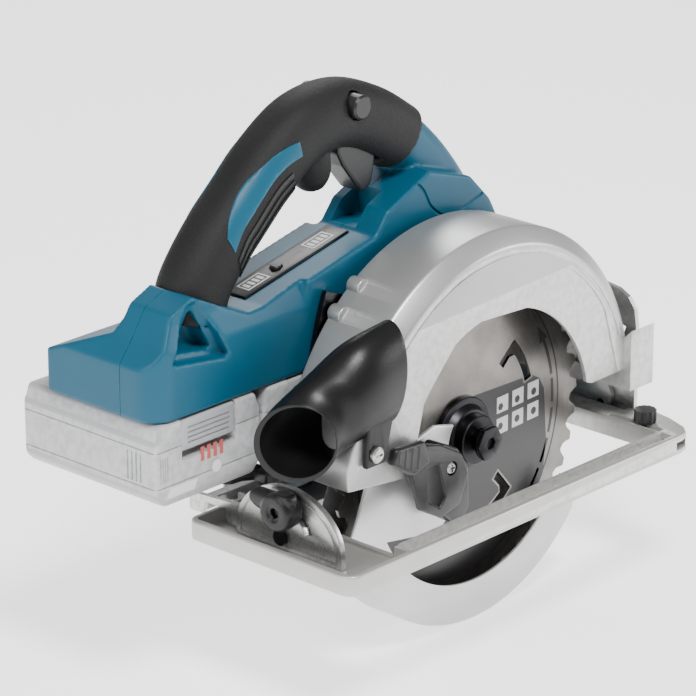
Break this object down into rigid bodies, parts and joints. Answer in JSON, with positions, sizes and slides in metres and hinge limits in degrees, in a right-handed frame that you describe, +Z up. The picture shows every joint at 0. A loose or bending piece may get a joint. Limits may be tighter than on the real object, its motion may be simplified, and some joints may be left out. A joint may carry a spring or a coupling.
{
  "type": "circular saw",
  "caption": "Cordless circular saw with tilting cast base, swinging lower guard, dust nozzle, loop handle with trigger and slide-on battery packs.",
  "frame": {"origin": "on the sole of the base, straight under the blade axis, in the seam plane of the housing", "axes": "+X forward along the cut, +Y to the left of the saw, +Z up from the sole"},
  "size_m": [0.328, 0.185, 0.2934],
  "materials": {
    "teal_plastic": "satin moulded, fine texture",
    "black_rubber": "pebbled soft grip",
    "black_plastic": "fine spark texture",
    "cast_aluminium": "satin die-cast, painted silver",
    "plated_steel": "zinc plated",
    "dark_steel": "blackened",
    "guard_metal": "satin",
    "blade_steel": "circular grinding marks",
    "motor_windings": "varnished copper and iron",
    "circuit_board": "semi-gloss",
    "pack_shell": "pale translucent grey",
    "pack_button": "grey"
  },
  "bodies": {
    "base": {"base_plate": "cast_aluminium", "rear_quadrant": "plated_steel", "front_quadrant": "plated_steel", "rear_pivot_pin": "dark_steel", "front_pivot_pin": "dark_steel"},
    "tilt_carrier": {"rear_bracket": "plated_steel", "depth_guide": "dark_steel", "tilt_rail": "cast_aluminium", "front_bracket": "plated_steel"},
    "saw_body": {"housing_right": "teal_plastic", "housing_left": "teal_plastic", "grip_sleeve": "black_rubber", "blade_case": "cast_aluminium", "gear_case": "cast_aluminium", "motor_cap": "teal_plastic", "stator": "motor_windings", "front_bearing": "plated_steel", "rear_bearing": "plated_steel", "control_board": "circuit_board", "terminal_block_rear": "black_plastic", "terminal_block_front": "black_plastic", "dust_nozzle": "black_plastic", "nozzle_screw": "plated_steel", "panel": "black_plastic", "depth_pin": "dark_steel"},
    "blade_spindle": {"spindle": "dark_steel", "spindle_gear": "plated_steel", "inner_flange": "dark_steel", "blade": "blade_steel", "outer_flange": "dark_steel", "blade_bolt": "dark_steel"},
    "motor_rotor": {"rotor": "dark_steel", "motor_pinion": "plated_steel", "motor_fan": "black_plastic"},
    "swing_guard": {"lower_guard": "guard_metal", "guard_lever": "black_plastic", "lever_screw": "plated_steel"},
    "trigger_switch": {"trigger": "black_plastic"},
    "lock_off": {"lock_off_button": "black_plastic"},
    "shaft_lock_button": {"shaft_lock": "black_plastic"},
    "check_button": {"panel_button": "black_plastic"},
    "rear_bevel_clamp": {"bevel_knob": "black_plastic"},
    "front_bevel_clamp": {"bevel_lever": "black_plastic"},
    "depth_clamp": {"depth_lever": "black_plastic"},
    "fence_clamp": {"fence_screw": "black_plastic"},
    "rear_pack": {"battery_rear": "pack_shell"},
    "front_pack": {"battery_front": "pack_shell"},
    "rear_pack_release": {"release_rear": "pack_button"},
    "front_pack_release": {"release_front": "pack_button"}
  },
  "joints": [
    {"name": "bevel_tilt", "type": "hinge", "parent": "base", "child": "tilt_carrier", "pos_m": [0, -0.047, 0.01], "axis": [1, 0, 0], "range_deg": [0, 45]},
    {"name": "depth_pivot", "type": "hinge", "parent": "tilt_carrier", "child": "saw_body", "pos_m": [0.1, -0.025, 0.05], "axis": [0, 1, 0], "range_deg": [0, 24]},
    {"name": "blade_spin", "type": "hinge", "parent": "saw_body", "child": "blade_spindle", "pos_m": [0, -0.047, 0.0265], "axis": [0, 1, 0], "continuous": true},
    {"name": "rotor_spin", "type": "hinge", "parent": "saw_body", "child": "motor_rotor", "pos_m": [0.0075, 0.02, 0.0472], "axis": [0, 1, 0], "continuous": true},
    {"name": "guard_swing", "type": "hinge", "parent": "saw_body", "child": "swing_guard", "pos_m": [0, -0.047, 0.0265], "axis": [0, 1, 0], "range_deg": [0, 100], "stiffness_Nm_per_rad": 0.12, "springref_deg": -68.75},
    {"name": "trigger_pull", "type": "hinge", "parent": "saw_body", "child": "trigger_switch", "pos_m": [-0.025, 0, 0.187], "axis": [0, 1, 0], "range_deg": [0, 5], "stiffness_Nm_per_rad": 2, "springref_deg": -2.86},
    {"name": "lock_off_slide", "type": "slide", "parent": "saw_body", "child": "lock_off", "axis": [0, 1, 0], "range_m": [-0.003, 0.003], "stiffness_N_per_m": 400},
    {"name": "shaft_lock_press", "type": "slide", "parent": "saw_body", "child": "shaft_lock_button", "axis": [-1, 0, 0], "range_m": [0, 0.004], "stiffness_N_per_m": 300, "springref_m": -0.002},
    {"name": "check_button_press", "type": "slide", "parent": "saw_body", "child": "check_button", "axis": [0, 0, -1], "range_m": [0, 0.001], "stiffness_N_per_m": 300, "springref_m": -0.001},
    {"name": "rear_bevel_clamp_turn", "type": "hinge", "parent": "tilt_carrier", "child": "rear_bevel_clamp", "pos_m": [-0.14, -0.05367, 0.02832], "axis": [1, 0, 0], "range_deg": [-60, 0]},
    {"name": "front_bevel_clamp_turn", "type": "hinge", "parent": "tilt_carrier", "child": "front_bevel_clamp", "pos_m": [0.125, -0.02128, 0.04814], "axis": [1, 0, 0], "range_deg": [-60, 0]},
    {"name": "depth_clamp_turn", "type": "hinge", "parent": "saw_body", "child": "depth_clamp", "pos_m": [-0.085, -0.02, 0.029], "axis": [0, 1, 0], "range_deg": [-10, 0]},
    {"name": "fence_clamp_turn", "type": "hinge", "parent": "base", "child": "fence_clamp", "pos_m": [0.1095, -0.084, 0.015], "axis": [0, 0, 1], "continuous": true},
    {"name": "rear_pack_slide", "type": "slide", "parent": "saw_body", "child": "rear_pack", "axis": [0, 1, 0], "range_m": [0, 0.1]},
    {"name": "front_pack_slide", "type": "slide", "parent": "saw_body", "child": "front_pack", "axis": [0, 1, 0], "range_m": [0, 0.1]},
    {"name": "rear_release_press", "type": "slide", "parent": "rear_pack", "child": "rear_pack_release", "axis": [0, 0, -1], "range_m": [0, 0.003], "stiffness_N_per_m": 300, "springref_m": -0.002},
    {"name": "front_release_press", "type": "slide", "parent": "front_pack", "child": "front_pack_release", "axis": [0, 0, -1], "range_m": [0, 0.003], "stiffness_N_per_m": 300, "springref_m": -0.002}
  ],
  "couplings": [
    {"joint": "rotor_spin", "follows": "blade_spin", "ratio": -4}
  ]
}
